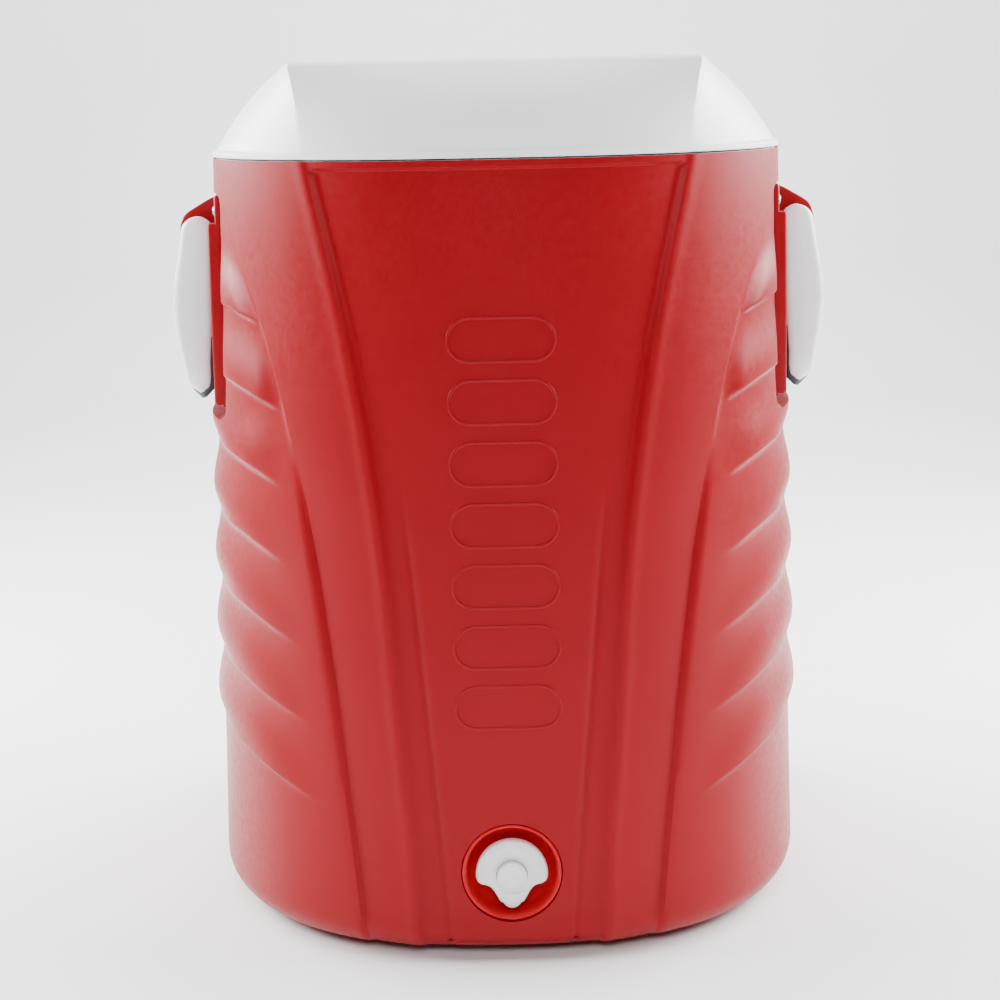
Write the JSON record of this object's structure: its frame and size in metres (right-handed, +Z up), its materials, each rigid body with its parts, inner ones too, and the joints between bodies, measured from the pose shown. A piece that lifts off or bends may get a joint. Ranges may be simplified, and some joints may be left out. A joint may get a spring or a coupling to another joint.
{
  "type": "cooler on wheels",
  "caption": "Upright insulated cooler with hinged lid, front push tap, side bail handles, rear wheels and telescopic tow handle.",
  "frame": {"origin": "on the floor under the middle of the cooler's outer box, where its feet and wheels stand", "axes": "+Z up, -Y the front with the tap, +X the cooler's left as it faces the front, the right of a person looking at the tap"},
  "size_m": [0.4696, 0.4405, 0.604],
  "materials": {
    "body": "fine-grained moulded polyethylene, satin",
    "tap_well": "moulded, satin gloss",
    "bracket": "moulded, satin",
    "lid": "moulded, soft gloss",
    "liner": "smooth food-grade liner",
    "foam": "rigid foamed-in insulation",
    "handle": "moulded, soft gloss",
    "grip": "soft-touch, matt",
    "tap": "moulded, satin gloss",
    "seal": "silicone, matt",
    "tyre": "moulded rubber, matt",
    "wheel": "grained black nylon",
    "hardware": "grained black nylon",
    "steel": "zinc-plated, satin",
    "tube": "anodised tube, satin"
  },
  "bodies": {
    "body": {"axle": "steel", "axle_cap_left": "hardware", "axle_cap_right": "hardware", "body_foam": "foam", "body_shell": "body", "foot_left": "tyre", "foot_right": "tyre", "handle_bracket_left": "bracket", "handle_bracket_right": "bracket", "handle_pin_left": "steel", "handle_pin_right": "steel", "handle_screw_left_front_lower": "steel", "handle_screw_left_front_upper": "steel", "handle_screw_left_rear_lower": "steel", "handle_screw_left_rear_upper": "steel", "handle_screw_right_front_lower": "steel", "handle_screw_right_front_upper": "steel", "handle_screw_right_rear_lower": "steel", "handle_screw_right_rear_upper": "steel", "hinge_body_leaf_left": "hardware", "hinge_body_leaf_right": "hardware", "hinge_pin_left": "steel", "hinge_pin_right": "steel", "hinge_screw_left": "steel", "hinge_screw_right": "steel", "inner_liner": "liner", "tap_body": "tap", "tap_gasket": "seal", "tap_nut": "hardware", "tap_spring": "steel", "tap_well": "tap_well", "tow_lower_bracket": "hardware", "tow_lower_screw_left": "steel", "tow_lower_screw_right": "steel", "tow_sleeve_left": "tube", "tow_sleeve_right": "tube", "tow_upper_bracket": "hardware", "tow_upper_screw_left": "steel", "tow_upper_screw_right": "steel"},
    "handle_left": {"handle_bail_left": "handle", "handle_grip_left": "grip"},
    "handle_right": {"handle_bail_right": "handle", "handle_grip_right": "grip"},
    "lid": {"hinge_lid_leaf_left": "lid", "hinge_lid_leaf_right": "lid", "lid_foam": "foam", "lid_gasket": "seal", "lid_liner": "liner", "lid_shell": "lid"},
    "tap_button": {"tap_button": "tap"},
    "tow_handle": {"tow_grip": "hardware", "tow_rod_left": "tube", "tow_rod_right": "tube"},
    "tow_release": {"tow_release_button": "handle"},
    "wheel_left": {"tyre_left": "tyre", "wheel_left": "wheel"},
    "wheel_right": {"tyre_right": "tyre", "wheel_right": "wheel"}
  },
  "joints": [
    {"name": "lid_hinge", "type": "hinge", "parent": "body", "child": "lid", "pos_m": [0, 0.1925, 0.539], "axis": [-1, 0, 0], "range_deg": [0, 100]},
    {"name": "handle_left_swing", "type": "hinge", "parent": "body", "child": "handle_left", "pos_m": [-0.215, 0, 0.4862], "axis": [0, 1, 0], "range_deg": [0, 100]},
    {"name": "handle_right_swing", "type": "hinge", "parent": "body", "child": "handle_right", "pos_m": [0.215, 0, 0.4862], "axis": [0, -1, 0], "range_deg": [0, 100]},
    {"name": "tap_button_press", "type": "slide", "parent": "body", "child": "tap_button", "axis": [0, 1, 0], "range_m": [0, 0.004], "stiffness_N_per_m": 900, "springref_m": -0.002, "deforming": ["tap_spring"]},
    {"name": "wheel_left_spin", "type": "hinge", "parent": "body", "child": "wheel_left", "pos_m": [-0.147, 0.155, 0.052], "axis": [1, 0, 0], "continuous": true},
    {"name": "wheel_right_spin", "type": "hinge", "parent": "body", "child": "wheel_right", "pos_m": [0.147, 0.155, 0.052], "axis": [1, 0, 0], "continuous": true},
    {"name": "tow_handle_slide", "type": "slide", "parent": "body", "child": "tow_handle", "axis": [0, 0, -1], "range_m": [-0.355, 0]},
    {"name": "tow_release_press", "type": "slide", "parent": "tow_handle", "child": "tow_release", "axis": [0, 0, -1], "range_m": [0, 0.0025], "stiffness_N_per_m": 900, "springref_m": -0.001}
  ]
}
